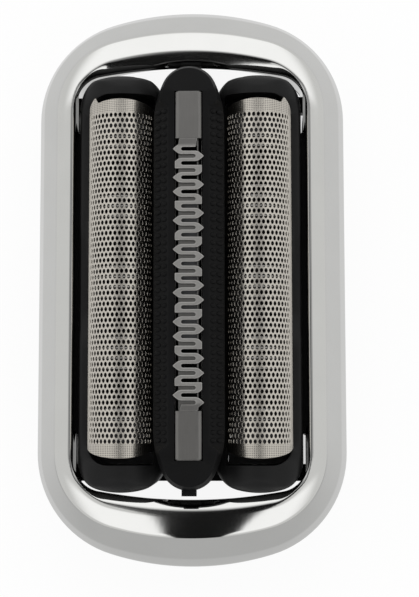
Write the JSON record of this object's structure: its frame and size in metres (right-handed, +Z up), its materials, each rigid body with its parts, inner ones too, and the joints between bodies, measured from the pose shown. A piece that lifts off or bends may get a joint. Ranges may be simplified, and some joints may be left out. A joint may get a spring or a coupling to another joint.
{
  "type": "shaver foil head",
  "caption": "Shaver foil head: arched floating foils over sliding blade packs beside a middle trimmer, in a bright oval ring that snaps onto the shaver body.",
  "frame": {"origin": "Middle of the seating edge, on the underside of the plated ring.", "axes": "+Z up from the shaver body towards the skin, +Y along the foils, +X across them to the right-hand foil."},
  "size_m": [0.033, 0.06, 0.0201],
  "materials": {
    "chrome_plate": "bright plating on a moulded ring",
    "black_plastic": "satin moulded black",
    "foil_metal": "warm nickel, finely perforated",
    "blade_steel": "brushed stainless",
    "spring_steel": "plain rolled strip",
    "cutter_plastic": "plain moulded dark grey"
  },
  "bodies": {
    "housing": {"chrome_frame": "chrome_plate", "chassis": "black_plastic", "left_foil_springs": "spring_steel", "right_foil_springs": "spring_steel", "trimmer_float_springs": "spring_steel"},
    "left_foil_unit": {"left_foil_holder": "black_plastic", "left_foil": "foil_metal", "left_cutter_retainers": "cutter_plastic"},
    "right_foil_unit": {"right_foil_holder": "black_plastic", "right_foil": "foil_metal", "right_cutter_retainers": "cutter_plastic"},
    "left_cutter": {"left_cutter_carrier": "cutter_plastic", "left_blades": "blade_steel"},
    "right_cutter": {"right_cutter_carrier": "cutter_plastic", "right_blades": "blade_steel"},
    "trimmer_unit": {"trimmer_carrier": "black_plastic", "trimmer_comb": "blade_steel", "trimmer_pressure_springs": "spring_steel"},
    "trimmer_cutter": {"trimmer_slider": "cutter_plastic", "trimmer_blade": "blade_steel"}
  },
  "joints": [
    {"name": "left_foil_float", "type": "slide", "parent": "housing", "child": "left_foil_unit", "axis": [0, 0, -1], "range_m": [0, 0.0012], "stiffness_N_per_m": 500, "springref_m": -0.001, "deforming": ["left_foil_springs"]},
    {"name": "right_foil_float", "type": "slide", "parent": "housing", "child": "right_foil_unit", "axis": [0, 0, -1], "range_m": [0, 0.0012], "stiffness_N_per_m": 500, "springref_m": -0.001, "deforming": ["right_foil_springs"]},
    {"name": "trimmer_float", "type": "slide", "parent": "housing", "child": "trimmer_unit", "axis": [0, 0, -1], "range_m": [0, 0.0012], "stiffness_N_per_m": 500, "springref_m": -0.001, "deforming": ["trimmer_float_springs"]},
    {"name": "left_cutter_stroke", "type": "slide", "parent": "left_foil_unit", "child": "left_cutter", "axis": [0, 1, 0], "range_m": [-0.001, 0.001]},
    {"name": "right_cutter_stroke", "type": "slide", "parent": "right_foil_unit", "child": "right_cutter", "axis": [0, 1, 0], "range_m": [-0.001, 0.001]},
    {"name": "trimmer_stroke", "type": "slide", "parent": "trimmer_unit", "child": "trimmer_cutter", "axis": [0, 1, 0], "range_m": [-0.0007, 0.0007]}
  ],
  "couplings": [
    {"joint": "right_cutter_stroke", "follows": "left_cutter_stroke", "ratio": 1},
    {"joint": "trimmer_stroke", "follows": "left_cutter_stroke", "ratio": 0.7}
  ]
}
